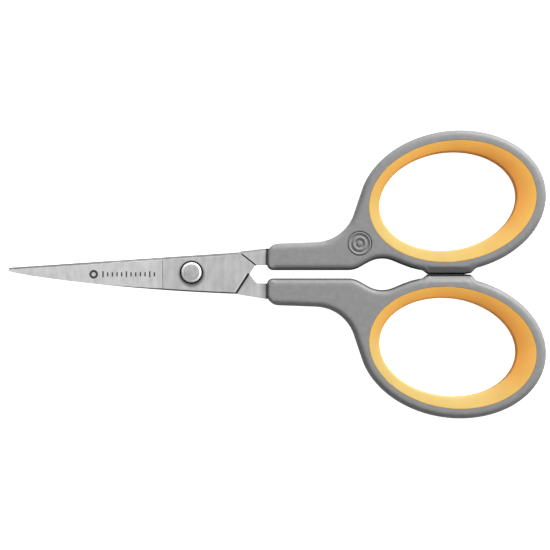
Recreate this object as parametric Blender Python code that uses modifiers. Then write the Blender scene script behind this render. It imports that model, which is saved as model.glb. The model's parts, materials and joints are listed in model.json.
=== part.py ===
"""Small office scissors: two riveted steel blades, moulded handles and soft finger loops.

The scissors lie closed on a table at z = 0. X runs along them, tips at -X and finger
loops at +X, and the two finger loops lie side by side across Y. Plan coordinates and
sizes are in millimetres; heights are measured from the plane where the blades meet.
"""
from math import atan2, cos, pi, radians, sin, tan

import bmesh
import bpy
from mathutils import Matrix, Vector

MM = 0.001

# Plates and clearances
HANDLE_THICKNESS = 6.4
BLADE_THICKNESS = 1.4
BLADE_GAP = 0.2
FIT_GAP = 0.2
MEETING_HEIGHT = HANDLE_THICKNESS / 2

# Blades, in plan, closed; corners are (x, y, radius), tang sections (x, inner y, outer y)
PIVOT = (-18.3, 0.4)
TIP_X = -57.5
TIP_ROUND = 0.12
SHOULDER_X = -24.5
TIP_THICKNESS = 0.7
LOWER_EDGE_TIP_Y = 0.85
LOWER_EDGE_HANDLES = ((-54.0, -0.27), (-34.0, -2.95))
LOWER_EDGE_ROOT = (-9.5, -4.15)
FRONT_EDGE_TIP_Y = 1.15
FRONT_EDGE_ROOT = (-8.4, 4.45)
FRONT_HEEL = ((-8.9, -4.17, 0.4), (-5.85, 0.1, 2.5), (-4.7, 1.95, 0.9))
FRONT_NECK = ((-3.6, 5.4, 6.0), (*FRONT_EDGE_ROOT, 6.0))
BACK_SPINE_TIP_Y = 1.3
BACK_HEEL = ((-4.4, -1.95, 1.2), (-5.8, -0.2, 2.5), (-8.6, 4.75, 0.4))
BACK_NECK = (-3.6, -4.85, 6.0)
EDGE_ENDS_X = -11.0
EDGE_LAND = 0.2
EDGE_LEAN = radians(14)
EDGE_SETBACK = 0.3
JOGGLE_FROM = (-7.5, 4.35)
JOGGLE_TO = (-4.5, 2.05)
JOGGLE_RUN = 1.2
LOWER_EDGE_STEPS = 14
TANG_ROOT = (2.0, 2.0, 5.4)
TANG_END = (17.0, 2.75, 5.0)
TANG_END_ROUND = 0.8
LOCK_HOLE = (12.5, 3.8)
LOCK_HOLE_RADIUS = 1.1

# Rivet and washer
RIVET_SHANK_RADIUS = 1.42
RIVET_BORE_RADIUS = 1.5
RIVET_HEAD_RADIUS = 2.2
RIVET_HEAD_HEIGHT = 0.6
RIVET_HEAD_CHAMFER = 0.35
RIVET_SEAT_GAP = 0.1
WASHER_RADIUS = 2.5
WASHER_BORE_RADIUS = 1.6
WASHER_THICKNESS = 0.4
PEENED_RADIUS = 2.05
PEENED_HEIGHT = 0.5

# Handles: the shank, then three ellipses as (centre x, centre y, half length, half width, tilt)
SHANK_END_X = -1.9
SHANK_INNER_Y = 0.85
SHANK_OUTER_Y = 6.55
SHANK_FLARE = radians(2.1)
SHANK_CORNER_RADII = (1.3, 2.5)
LOOP_OUTLINE = (37.55, 15.65, 20.05, 15.05, radians(8.2))
SEAM_OUTLINE = (37.5, 15.65, 18.0, 12.95, radians(8.2))
HOLE_OUTLINE = (36.5, 15.6, 14.7, 10.45, radians(8.0))
LOOP_STARTS_AT = radians(-108)
LOOP_ENDS_AT = radians(160)
SHOULDER_FILLET = 8.9
ARCH = ((16.5, SHANK_INNER_Y, 4.7), (22.15, 4.03, 6.1), (29.4, 0.98, 17.9))
HANDLE_EDGE_ROUND = 0.95
LOOP_SIDES = 56
RIB_HEIGHT = 0.8
RIB_THICKNESS = 2.0
BUMPER_FROM_X = 31.6
BUMPER_TO_X = 41.6
BUMPER_FACE_Y = 0.15
BUMPER_TOP_Y = 2.4
BUMPER_THICKNESS = 5.0
BADGE_CENTRE = (17.8, 6.75)
BADGE_RADIUS = 2.6
BADGE_GROOVE = (0.35, 0.25)

# Finger grips
GRIP_HALF_THICKNESS = 3.0
GRIP_ROUNDNESS = 2.4
GRIP_SIDES = 52
GRIP_FACE_STEPS = 10

STEEL = dict(colour=(0.56, 0.57, 0.58, 1), roughness=0.32, metallic=1.0)
RIVET_STEEL = dict(colour=(0.66, 0.67, 0.68, 1), roughness=0.22, metallic=1.0)
GREY_PLASTIC = dict(colour=(0.26, 0.26, 0.265, 1), roughness=0.5, metallic=0.0)
YELLOW_RUBBER = dict(colour=(0.86, 0.44, 0.09, 1), roughness=0.6, metallic=0.0)


# ---------------------------------------------------------------- scene helpers

def clear_scene():
    for old in list(bpy.data.objects):
        bpy.data.objects.remove(old, do_unlink=True)


def new_collection(name):
    collection = bpy.data.collections.new(name)
    bpy.context.scene.collection.children.link(collection)
    return collection


def new_material(name, colour, roughness, metallic):
    material = bpy.data.materials.new(name)
    material.use_nodes = True
    shader = material.node_tree.nodes["Principled BSDF"]
    shader.inputs["Base Color"].default_value = colour
    shader.inputs["Roughness"].default_value = roughness
    shader.inputs["Metallic"].default_value = metallic
    material.diffuse_color = colour
    return material


def new_mesh_object(name, mesh, collection):
    obj = bpy.data.objects.new(name, mesh)
    obj.location = (0, 0, MEETING_HEIGHT * MM)
    collection.objects.link(obj)
    return obj


def as_cutter(obj):
    obj.hide_render = True
    obj.display_type = "WIRE"
    return obj


def add_boolean(obj, operand, operation):
    modifier = obj.modifiers.new(operand.name, "BOOLEAN")
    modifier.object = operand
    modifier.operation = operation


def smooth_by_angle(obj, degrees):
    obj.data.shade_smooth()
    obj.data.set_sharp_from_angle(angle=radians(degrees))


def hang_on(obj, pivot_empty):
    obj.parent = pivot_empty
    obj.matrix_parent_inverse = Matrix.Translation(-pivot_empty.location)


# ---------------------------------------------------------------- plan outlines

def ellipse_point(outline, angle, inset=0.0):
    centre_x, centre_y, half_length, half_width, tilt = outline
    along = (half_length - inset) * cos(angle)
    across = (half_width - inset) * sin(angle)
    x = centre_x + along * cos(tilt) - across * sin(tilt)
    y = centre_y + along * sin(tilt) + across * cos(tilt)
    return (x, y)


def ellipse(outline, steps, inset=0.0):
    return [ellipse_point(outline, 2 * pi * i / steps, inset) for i in range(steps)]


def bezier(start, start_handle, end_handle, end, steps):
    points = []
    for i in range(steps + 1):
        t = i / steps
        weights = ((1 - t) ** 3, 3 * t * (1 - t) ** 2, 3 * t * t * (1 - t), t ** 3)
        knots = (start, start_handle, end_handle, end)
        points.append(tuple(sum(w * knot[axis] for w, knot in zip(weights, knots)) for axis in (0, 1)))
    return points


def meet(point, angle, other, other_angle):
    """Crossing of two lines, each given by a point and a direction."""
    dx = other[0] - point[0]
    dy = other[1] - point[1]
    reach = (dx * sin(other_angle) - dy * cos(other_angle)) / sin(other_angle - angle)
    return (point[0] + reach * cos(angle), point[1] + reach * sin(angle))


def round_corners(corners, arc_step=radians(12)):
    """A closed outline through (x, y, radius) corners; radius 0 keeps the point itself."""
    points = []
    for i, (x, y, radius) in enumerate(corners):
        if radius == 0:
            points.append((x, y))
            continue
        before = corners[i - 1]
        after = corners[(i + 1) % len(corners)]
        heading_in = atan2(y - before[1], x - before[0])
        heading_out = atan2(after[1] - y, after[0] - x)
        turn = (heading_out - heading_in + pi) % (2 * pi) - pi
        side = 1 if turn > 0 else -1
        setback = radius * tan(abs(turn) / 2)
        start = (x - setback * cos(heading_in), y - setback * sin(heading_in))
        centre = (start[0] - side * radius * sin(heading_in), start[1] + side * radius * cos(heading_in))
        steps = max(2, round(abs(turn) / arc_step))
        for k in range(steps + 1):
            heading = heading_in + turn * k / steps
            arc_x = centre[0] + side * radius * sin(heading)
            arc_y = centre[1] - side * radius * cos(heading)
            points.append((arc_x, arc_y))
    return points


def mirrored(points):
    return [(x, -y) for x, y in points]


def sharp(points):
    return [(x, y, 0) for x, y in points]


# ---------------------------------------------------------------- solids

def plate(name, outlines, low, high, collection, rounding=0.0):
    """A flat plate between two heights, from a filled curve, with its rims rounded inside the outline."""
    curve = bpy.data.curves.new(name, "CURVE")
    curve.dimensions = "2D"
    curve.fill_mode = "BOTH"
    curve.extrude = ((high - low) / 2 - rounding) * MM
    curve.bevel_depth = rounding * MM
    curve.bevel_resolution = 2
    curve.offset = -rounding * MM
    for outline in outlines:
        spline = curve.splines.new("POLY")
        spline.points.add(len(outline) - 1)
        for point, (x, y) in zip(spline.points, outline):
            point.co = (x * MM, y * MM, 0, 1)
        spline.use_cyclic_u = True
    curve_object = bpy.data.objects.new(name + "_curve", curve)
    collection.objects.link(curve_object)
    evaluated = curve_object.evaluated_get(bpy.context.evaluated_depsgraph_get())
    mesh = bpy.data.meshes.new_from_object(evaluated)
    bpy.data.objects.remove(curve_object)
    bm = bmesh.new()
    bm.from_mesh(mesh)
    bmesh.ops.remove_doubles(bm, verts=bm.verts, dist=0.001 * MM)
    bmesh.ops.translate(bm, verts=bm.verts, vec=(0, 0, (high + low) / 2 * MM))
    bm.to_mesh(mesh)
    bm.free()
    mesh.name = name
    return new_mesh_object(name, mesh, collection)


def box(name, low_corner, high_corner, collection):
    low = Vector(low_corner) * MM
    high = Vector(high_corner) * MM
    bm = bmesh.new()
    bmesh.ops.create_cube(bm, size=1)
    bmesh.ops.scale(bm, verts=bm.verts, vec=high - low)
    bmesh.ops.translate(bm, verts=bm.verts, vec=(low + high) / 2)
    mesh = bpy.data.meshes.new(name)
    bm.to_mesh(mesh)
    bm.free()
    return new_mesh_object(name, mesh, collection)


def loft(name, rings, closed, collection):
    """Skin a row of equal-sided rings of (x, y, z) points, joined end to end or capped."""
    bm = bmesh.new()
    loops = [[bm.verts.new((x * MM, y * MM, z * MM)) for x, y, z in ring] for ring in rings]
    following = loops[1:] + loops[:1] if closed else loops[1:]
    for loop, next_loop in zip(loops, following):
        for k in range(len(loop)):
            n = (k + 1) % len(loop)
            bm.faces.new((loop[k], next_loop[k], next_loop[n], loop[n]))
    if not closed:
        bm.faces.new(loops[0])
        bm.faces.new(loops[-1])
    bmesh.ops.recalc_face_normals(bm, faces=bm.faces)
    mesh = bpy.data.meshes.new(name)
    bm.to_mesh(mesh)
    bm.free()
    return new_mesh_object(name, mesh, collection)


def cylinder(name, centre, radius, low, high, collection, segments=32):
    bm = bmesh.new()
    place = Matrix.Translation((centre[0] * MM, centre[1] * MM, (low + high) / 2 * MM))
    bmesh.ops.create_cone(bm, cap_ends=True, segments=segments, radius1=radius * MM,
                          radius2=radius * MM, depth=(high - low) * MM, matrix=place)
    mesh = bpy.data.meshes.new(name)
    bm.to_mesh(mesh)
    bm.free()
    return new_mesh_object(name, mesh, collection)


def turned(name, centre, profile, closed, collection, steps=48):
    """A profile of (radius, height) points turned about the upright line through centre."""
    mesh = bpy.data.meshes.new(name)
    vertices = [(radius * MM, 0, height * MM) for radius, height in profile]
    edges = [(i, i + 1) for i in range(len(profile) - 1)]
    if closed:
        edges.append((len(profile) - 1, 0))
    mesh.from_pydata(vertices, edges, [])
    obj = new_mesh_object(name, mesh, collection)
    obj.location.x = centre[0] * MM
    obj.location.y = centre[1] * MM
    screw = obj.modifiers.new("turn", "SCREW")
    screw.steps = steps
    screw.render_steps = steps
    screw.use_merge_vertices = True
    screw.merge_threshold = 0.001 * MM
    screw.use_normal_calculate = False
    return obj


# ---------------------------------------------------------------- blades

def tang_corners():
    root_x, root_inner, root_outer = TANG_ROOT
    end_x, end_inner, end_outer = TANG_END
    end = [(end_x, end_inner, TANG_END_ROUND), (end_x, end_outer, TANG_END_ROUND)]
    return [(root_x, root_inner, 0), *end, (root_x, root_outer, 0)]


def pocket_outline():
    """The tang's outline with clearance all round, open at the shank's end."""
    root_x, root_inner, root_outer = TANG_ROOT
    end_x, end_inner, end_outer = TANG_END
    mouth_x = SHANK_END_X - 1
    inner = [(mouth_x, root_inner), (root_x, root_inner), (end_x + FIT_GAP, end_inner)]
    outer = [(end_x + FIT_GAP, end_outer), (root_x, root_outer), (mouth_x, root_outer)]
    return [(x, y - FIT_GAP) for x, y in inner] + [(x, y + FIT_GAP) for x, y in outer]


def lower_edge(lift):
    """The bellied edge on -Y: the front blade's spine and, lifted, the back blade's cutting edge."""
    first_handle, second_handle = LOWER_EDGE_HANDLES
    return bezier((TIP_X, LOWER_EDGE_TIP_Y), (first_handle[0], first_handle[1] + lift),
                  (second_handle[0], second_handle[1] + lift),
                  (LOWER_EDGE_ROOT[0], LOWER_EDGE_ROOT[1] + lift), LOWER_EDGE_STEPS)


def front_blade_outline():
    """The blade nearer the top: cutting edge on +Y, spine on -Y, tang into the +Y handle."""
    tip = (TIP_X, FRONT_EDGE_TIP_Y, TIP_ROUND)
    return round_corners([*sharp(lower_edge(0)), *FRONT_HEEL, *tang_corners(), *FRONT_NECK, tip])


def back_blade_outline():
    """The lower blade: spine on +Y, cutting edge on -Y hidden under the other blade's spine."""
    tang = [(x, -y, radius) for x, y, radius in reversed(tang_corners())]
    tip = (TIP_X, BACK_SPINE_TIP_Y, TIP_ROUND)
    return round_corners([*sharp(lower_edge(EDGE_SETBACK)), BACK_NECK, *tang, *BACK_HEEL, tip])


def joggle(obj, corner_from, corner_to, drop):
    """Offset everything beyond the joggle line by drop, through a straight ramp."""
    line = Vector((corner_to[0] - corner_from[0], corner_to[1] - corner_from[1], 0)).normalized()
    beyond = Vector((-line.y, line.x, 0))
    if beyond.x < 0:
        beyond = -beyond
    start = Vector((corner_from[0], corner_from[1], 0)) * MM
    bm = bmesh.new()
    bm.from_mesh(obj.data)
    for offset in (0, JOGGLE_RUN * MM):
        geometry = bm.verts[:] + bm.edges[:] + bm.faces[:]
        bmesh.ops.bisect_plane(bm, geom=geometry, dist=0.0001 * MM, plane_co=start + beyond * offset,
                               plane_no=beyond)
    for vertex in bm.verts:
        distance = (vertex.co - start).dot(beyond)
        share = min(max(distance / (JOGGLE_RUN * MM), 0), 1)
        vertex.co.z += share * drop * MM
    bm.to_mesh(obj.data)
    bm.free()


def face_grinder(name, side, cutters):
    """A block whose near face runs from the shoulder, at full thickness, to the thin tip."""
    length = SHOULDER_X - TIP_X
    slope = atan2(BLADE_THICKNESS - TIP_THICKNESS, length)
    grinder = box(name, (-length - 5, -12, 0), (10, 12, 4), cutters)
    outer = BLADE_GAP / 2 + BLADE_THICKNESS
    lean = Matrix.Rotation(-slope, 4, "Y")
    reach = Matrix.Translation((SHOULDER_X * MM, 0, outer * MM))
    grinder.data.transform(reach @ lean)
    if side < 0:
        grinder.data.transform(Matrix.Scale(-1, 4, (0, 0, 1)))
        grinder.data.flip_normals()
    return as_cutter(grinder)


def edge_grinder(name, path, side, cutters):
    """A bar swept along the cutting edge that leans its wall back, above a narrow land.

    The path runs with the blade on its left; side tells which way the blade faces.
    """
    land = BLADE_GAP / 2 + EDGE_LAND
    crest = BLADE_GAP / 2 + BLADE_THICKNESS + 1
    inset = (crest - land) * tan(EDGE_LEAN)
    section = [(0, land), (inset, crest), (-1, crest), (-1, land)]
    rings = []
    for i, point in enumerate(path):
        before = path[max(i - 1, 0)]
        after = path[min(i + 1, len(path) - 1)]
        heading = atan2(after[1] - before[1], after[0] - before[0])
        ring = []
        for depth, height in section:
            ring.append((point[0] - depth * sin(heading), point[1] + depth * cos(heading), side * height))
        rings.append(ring)
    return as_cutter(loft(name, rings, False, cutters))


def front_edge_path():
    slope = (FRONT_EDGE_ROOT[1] - FRONT_EDGE_TIP_Y) / (FRONT_EDGE_ROOT[0] - TIP_X)
    ends = (EDGE_ENDS_X, TIP_X - 1)
    return [(x, FRONT_EDGE_TIP_Y + slope * (x - TIP_X)) for x in ends]


def back_edge_path():
    edge = lower_edge(EDGE_SETBACK)
    beyond_tip = (2 * edge[0][0] - edge[1][0], 2 * edge[0][1] - edge[1][1])
    return [beyond_tip] + [point for point in edge if point[0] < EDGE_ENDS_X]


def make_blade(name, outline, edge_path, side, parts, cutters):
    near = BLADE_GAP / 2
    far = near + BLADE_THICKNESS
    low, high = (near, far) if side > 0 else (-far, -near)
    blade = plate(name, [outline], low, high, parts)
    corner_from = (JOGGLE_FROM[0], side * JOGGLE_FROM[1])
    corner_to = (JOGGLE_TO[0], side * JOGGLE_TO[1])
    joggle(blade, corner_from, corner_to, -side * (near + BLADE_THICKNESS / 2))
    bore = as_cutter(cylinder(name + "_bore", PIVOT, RIVET_BORE_RADIUS, -4, 4, cutters, 48))
    lock_centre = (LOCK_HOLE[0], side * LOCK_HOLE[1])
    lock_hole = as_cutter(cylinder(name + "_lock_hole", lock_centre, LOCK_HOLE_RADIUS, -2, 2, cutters))
    add_boolean(blade, bore, "DIFFERENCE")
    add_boolean(blade, lock_hole, "DIFFERENCE")
    add_boolean(blade, face_grinder(name + "_face_grinder", side, cutters), "DIFFERENCE")
    add_boolean(blade, edge_grinder(name + "_edge_grinder", edge_path, side, cutters), "DIFFERENCE")
    smooth_by_angle(blade, 25)
    return blade


def make_blades(parts, cutters):
    front = make_blade("front_blade", front_blade_outline(), front_edge_path(), 1, parts, cutters)
    back = make_blade("back_blade", back_blade_outline(), back_edge_path(), -1, parts, cutters)
    for blade in (front, back):
        blade.data.materials.append(new_material(blade.name, **STEEL))
    return front, back


# ---------------------------------------------------------------- rivet

def make_rivet(parts):
    outer = BLADE_GAP / 2 + BLADE_THICKNESS
    head_low = outer + RIVET_SEAT_GAP
    head_high = head_low + RIVET_HEAD_HEIGHT
    washer_high = -outer - RIVET_SEAT_GAP
    washer_low = washer_high - WASHER_THICKNESS
    peened_high = washer_low - RIVET_SEAT_GAP
    peened_low = peened_high - PEENED_HEIGHT
    rivet_profile = [
        (0, head_high),
        (RIVET_HEAD_RADIUS - RIVET_HEAD_CHAMFER, head_high),
        (RIVET_HEAD_RADIUS, head_high - RIVET_HEAD_CHAMFER),
        (RIVET_HEAD_RADIUS, head_low),
        (RIVET_SHANK_RADIUS, head_low),
        (RIVET_SHANK_RADIUS, peened_high),
        (PEENED_RADIUS, peened_high),
        (PEENED_RADIUS * 0.9, (peened_high + peened_low) / 2),
        (PEENED_RADIUS * 0.55, peened_low),
        (0, peened_low),
    ]
    rivet = turned("pivot_rivet", PIVOT, rivet_profile, False, parts)
    washer_profile = [
        (WASHER_BORE_RADIUS, washer_high),
        (WASHER_RADIUS, washer_high),
        (WASHER_RADIUS, washer_low),
        (WASHER_BORE_RADIUS, washer_low),
    ]
    washer = turned("rivet_washer", PIVOT, washer_profile, True, parts)
    for piece in (rivet, washer):
        piece.data.materials.append(new_material(piece.name, **RIVET_STEEL))
        smooth_by_angle(piece, 25)
    return rivet, washer


# ---------------------------------------------------------------- handles and grips

def handle_outline():
    """Shank with rounded end, arch between the necks, oval loop and sweeping outer fillet."""
    loop_turn = (LOOP_ENDS_AT - LOOP_STARTS_AT) / LOOP_SIDES
    loop = [ellipse_point(LOOP_OUTLINE, LOOP_STARTS_AT + loop_turn * i) for i in range(LOOP_SIDES + 1)]
    heading_at_end = atan2(loop[-1][1] - loop[-2][1], loop[-1][0] - loop[-2][0])
    shoulder = meet((SHANK_END_X, SHANK_OUTER_Y), SHANK_FLARE, loop[-1], heading_at_end)
    inner_radius, outer_radius = SHANK_CORNER_RADII
    inner_end = [(SHANK_END_X, SHANK_INNER_Y, inner_radius), *ARCH]
    outer_end = [(*shoulder, SHOULDER_FILLET), (SHANK_END_X, SHANK_OUTER_Y, outer_radius)]
    return round_corners(inner_end + sharp(loop) + outer_end)


def sided(points, side):
    return points if side > 0 else mirrored(points)


def loop_plug(name, side, cutters):
    """The loop's opening as one solid, waisted so that it leaves a seating rib half way down."""
    over = HANDLE_THICKNESS
    rib = RIB_THICKNESS / 2
    levels = [(-over, 0), (-rib, 0), (-rib, RIB_HEIGHT), (rib, RIB_HEIGHT), (rib, 0), (over, 0)]
    rings = []
    for height, inset in levels:
        outline = sided(ellipse(SEAM_OUTLINE, LOOP_SIDES, inset), side)
        rings.append([(x, y, height) for x, y in outline])
    return as_cutter(loft(name, rings, False, cutters))


def make_handle(name, side, parts, cutters):
    half = HANDLE_THICKNESS / 2
    handle = plate(name, [sided(handle_outline(), side)], -half, half, parts, HANDLE_EDGE_ROUND)

    add_boolean(handle, loop_plug(name + "_loop_plug", side, cutters), "DIFFERENCE")

    bumper_y = sorted((side * BUMPER_FACE_Y, side * BUMPER_TOP_Y))
    bumper = box(name + "_bumper", (BUMPER_FROM_X, bumper_y[0], -BUMPER_THICKNESS / 2),
                 (BUMPER_TO_X, bumper_y[1], BUMPER_THICKNESS / 2), cutters)
    softening = bumper.modifiers.new("softened_edges", "BEVEL")
    softening.width = 0.4 * MM
    softening.segments = 2
    add_boolean(handle, as_cutter(bumper), "UNION")

    pocket_half = BLADE_THICKNESS / 2 + FIT_GAP
    pocket = plate(name + "_pocket", [sided(pocket_outline(), side)], -pocket_half, pocket_half, cutters)
    add_boolean(handle, as_cutter(pocket), "DIFFERENCE")

    stud_centre = (LOCK_HOLE[0], side * LOCK_HOLE[1])
    stud = cylinder(name + "_stud", stud_centre, LOCK_HOLE_RADIUS - FIT_GAP, -2, 2, cutters)
    add_boolean(handle, as_cutter(stud), "UNION")
    return handle


def cut_badge_groove(handle, cutters):
    width, depth = BADGE_GROOVE
    half = HANDLE_THICKNESS / 2
    profile = [
        (BADGE_RADIUS, half + 1),
        (BADGE_RADIUS, half - depth),
        (BADGE_RADIUS - width, half - depth),
        (BADGE_RADIUS - width, half + 1),
    ]
    groove = turned(handle.name + "_badge_groove", BADGE_CENTRE, profile, True, cutters)
    add_boolean(handle, as_cutter(groove), "DIFFERENCE")


def grip_section():
    """Half-turn face of the grip as (share of width, height) pairs, then its seat groove."""
    face = []
    for i in range(GRIP_FACE_STEPS + 1):
        angle = pi / 2 - pi * i / GRIP_FACE_STEPS
        share = abs(cos(angle)) ** (2 / GRIP_ROUNDNESS)
        height = abs(sin(angle)) ** (2 / GRIP_ROUNDNESS) * GRIP_HALF_THICKNESS
        face.append((share, height if angle > 0 else -height))
    return face


def make_grip(name, side, parts):
    """A soft ring between the seam and the finger hole, lofted because its width varies."""
    groove_half = RIB_THICKNESS / 2 + FIT_GAP
    groove_depth = RIB_HEIGHT + FIT_GAP
    groove = [(0, -groove_half), (groove_depth, -groove_half), (groove_depth, groove_half), (0, groove_half)]
    rings = []
    for i in range(GRIP_SIDES):
        angle = 2 * pi * i / GRIP_SIDES
        outer = Vector(ellipse_point(SEAM_OUTLINE, angle, FIT_GAP))
        inner = Vector(ellipse_point(HOLE_OUTLINE, angle))
        inward = (inner - outer).normalized()
        width = (inner - outer).length
        section = [(share * width, height) for share, height in grip_section()] + groove
        ring = []
        for depth, height in section:
            point = outer + inward * depth
            ring.append((point.x, side * point.y, height))
        rings.append(ring)
    grip = loft(name, rings, True, parts)
    grip.data.materials.append(new_material(name, **YELLOW_RUBBER))
    smooth_by_angle(grip, 40)
    return grip


def make_handles(parts, cutters):
    upper = make_handle("upper_handle", 1, parts, cutters)
    lower = make_handle("lower_handle", -1, parts, cutters)
    cut_badge_groove(upper, cutters)
    for handle in (upper, lower):
        handle.data.materials.append(new_material(handle.name, **GREY_PLASTIC))
        smooth_by_angle(handle, 35)
    return upper, lower


def new_pivot(name, parts):
    empty = bpy.data.objects.new(name, None)
    empty.location = (PIVOT[0] * MM, PIVOT[1] * MM, MEETING_HEIGHT * MM)
    parts.objects.link(empty)
    return empty


def main():
    clear_scene()
    parts = new_collection("office_scissors")
    cutters = new_collection("cutters")
    front_blade, back_blade = make_blades(parts, cutters)
    rivet, washer = make_rivet(parts)
    upper_handle, lower_handle = make_handles(parts, cutters)
    upper_grip = make_grip("upper_grip", 1, parts)
    lower_grip = make_grip("lower_grip", -1, parts)

    turning_half = new_pivot("turning_half", parts)
    for piece in (front_blade, upper_handle, upper_grip):
        hang_on(piece, turning_half)
    fixed_half = new_pivot("fixed_half", parts)
    for piece in (back_blade, lower_handle, lower_grip, rivet, washer):
        hang_on(piece, fixed_half)


main()
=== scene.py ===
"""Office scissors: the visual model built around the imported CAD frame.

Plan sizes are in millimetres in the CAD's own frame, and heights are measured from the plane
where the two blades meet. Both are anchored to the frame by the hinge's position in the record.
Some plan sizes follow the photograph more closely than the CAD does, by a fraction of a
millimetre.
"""

import json
from math import atan2, cos, pi, radians, sin, sqrt, tan

import bmesh
import bpy
import numpy as np
from mathutils import Matrix, Vector
from mathutils.geometry import delaunay_2d_cdt


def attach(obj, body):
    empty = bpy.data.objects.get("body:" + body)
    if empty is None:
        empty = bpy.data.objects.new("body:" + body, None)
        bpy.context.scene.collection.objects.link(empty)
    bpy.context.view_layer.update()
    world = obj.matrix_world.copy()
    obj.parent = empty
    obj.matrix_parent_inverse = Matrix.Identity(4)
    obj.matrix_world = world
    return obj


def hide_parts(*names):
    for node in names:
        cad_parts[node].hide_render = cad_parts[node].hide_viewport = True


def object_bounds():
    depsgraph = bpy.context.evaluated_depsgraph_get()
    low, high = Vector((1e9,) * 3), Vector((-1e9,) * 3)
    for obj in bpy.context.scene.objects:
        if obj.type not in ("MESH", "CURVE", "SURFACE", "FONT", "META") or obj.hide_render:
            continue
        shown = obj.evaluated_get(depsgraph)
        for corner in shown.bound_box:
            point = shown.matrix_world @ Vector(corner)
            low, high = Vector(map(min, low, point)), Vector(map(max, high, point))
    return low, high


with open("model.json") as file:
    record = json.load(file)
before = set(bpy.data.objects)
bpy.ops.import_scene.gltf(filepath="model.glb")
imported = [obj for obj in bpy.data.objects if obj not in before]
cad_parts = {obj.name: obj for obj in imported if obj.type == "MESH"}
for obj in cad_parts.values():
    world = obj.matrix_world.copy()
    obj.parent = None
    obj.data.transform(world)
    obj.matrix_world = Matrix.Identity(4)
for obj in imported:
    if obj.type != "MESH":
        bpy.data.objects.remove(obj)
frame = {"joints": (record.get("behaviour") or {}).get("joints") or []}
cad_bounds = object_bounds()

MM = 0.001

# ---- plan sizes, at or near the CAD's
PIVOT = (-18.3, 0.4)
BLADE_NEAR = 0.1
BLADE_FAR = 1.5
TIP_X = -57.5
TIP_ROUND = 0.12
TIP_THICKNESS = 0.7
SHOULDER_X = -24.5
LOWER_EDGE_TIP_Y = 0.64
LOWER_EDGE_HANDLES = ((-54.0, -0.42), (-34.0, -3.2))
LOWER_EDGE_ROOT = (-9.5, -4.15)
FRONT_EDGE_TIP_Y = 1.08
FRONT_EDGE_ROOT = (-8.4, 4.34)
FRONT_HEEL = ((-8.6, -4.19, 0.3), (-5.82, 0.1, 2.5), (-4.7, 1.95, 0.9))
FRONT_NECK = ((-2.4, 5.56, 3.0), (-7.9, 4.92, 0.4), (*FRONT_EDGE_ROOT, 0.4))
BACK_SPINE_TIP_Y = 1.44
BACK_HEEL = ((-4.4, -1.95, 1.2), (-5.8, -0.2, 2.5), (-8.05, 4.74, 0.12))
BACK_NECK = ((-8.3, -4.28, 1.0), (-2.4, -5.24, 4.0))
BACK_SPINE_ENDS_X = -8.0
EDGE_ENDS_X = -11.0
EDGE_LAND = 0.2
EDGE_LEAN = radians(14)
EDGE_SETBACK = 0.3
JOGGLE_FROM = (-7.5, 4.35)
JOGGLE_TO = (-4.5, 2.05)
JOGGLE_RUN = 5.0
TANG_ROOT = (2.0, 2.0, 5.4)
TANG_END = (17.0, 2.75, 5.0)
TANG_END_ROUND = 0.8
RIVET_BORE = 1.5
SHANK_END_X = -2.15
SHANK_INNER_Y = 0.89
SHANK_OUTER_Y = 6.55
SHANK_FLARE = radians(2.1)
SHANK_CORNER_RADII = (1.3, 2.5)
LOOP_OUTLINE = (37.55, 15.65, 20.05, 15.05, radians(8.2))
SEAM_OUTLINE = (37.5, 15.65, 18.0, 12.95, radians(8.2))
HOLE_OUTLINE = (36.5, 15.6, 14.7, 10.45, radians(8.0))
LOOP_STARTS_AT = radians(-108)
LOOP_ENDS_AT = radians(160)
SHOULDER_FILLET = 8.9
ARCH = ((16.5, SHANK_INNER_Y, 4.7), (22.15, 4.03, 6.1), (29.4, 0.98, 17.9))
BADGE_CENTRE = (17.62, 6.58)
BADGE_RADIUS = 2.72
BADGE_SIDES = 72
# (radius, height above the face), inwards from the badge's rim
BADGE_RELIEF = (
    (2.67, -0.3), (2.47, -0.34), (2.39, -0.1), (2.3, -0.02), (2.2, -0.02), (2.07, -0.12),
    (1.99, -0.3), (1.69, -0.34), (1.59, -0.26), (1.51, -0.06), (1.38, 0.0), (1.17, 0.0),
    (1.05, -0.06), (0.96, -0.26), (0.9, -0.32), (0.65, -0.32), (0.59, -0.24), (0.5, -0.04),
    (0.38, 0.0))

# ---- sizes of the visual detail
HANDLE_TOP = 3.2
RIM_WIDTH = 1.65
RIM_HEIGHT = 1.9
RIM_WALL_ANGLES = (7, 14, 21)
RIM_FACE_ANGLES = (30, 40, 50, 60, 70, 80, 90, 97)
SHANK_END_FADE = (0.5, 2.0)
SHANK_END_TIGHTENING = 1.5
OUTLINE_STEP = 0.42
LOOP_SIDES = 240
GAP_SIDE_BELOW_Y = 3
BUMPER_SPAN = (31.2, 42.6)
BUMPER_CHAMFER = 1.75
BUMPER_SLOPE = 0.9
BUMPER_BLEND = 0.6
BUMPER_MARGIN = 0.4
BUMPER_BELOW_Y = 4
BUMPER_FADE = (0.2, 1.8, 2.2)
BUMPER_CREST = 0.25
BUMPER_LIP_DROP = 0.9
BUMPER_LIP_WIDTH = 0.3
UPPER_BUMPER = ((32.3, 0.004, 0.45), (40.0, 0.004, 1.5), (41.45, 0.26, 0.5))
LOWER_BUMPER = ((32.3, 0.004, 0.45), (40.2, 0.004, 2.0), (41.45, 0.1, 0.5))
SEAM_GAP = 0.02
GRIP_TOP = 3.17
GRIP_SIDES = 220
GRIP_SEAM_TILT = radians(9)
GRIP_EDGE_TILT = radians(16)
GRIP_FILLET = 0.45
EDGE_BREAK = 0.06
SPINE_CHAMFER = 0.3
HEEL_CHAMFER = 0.45
HEEL_CHAMFER_PATH = ((-9.26, -5.2), FRONT_HEEL[0][:2], (-5.86, 0.04))
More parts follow.
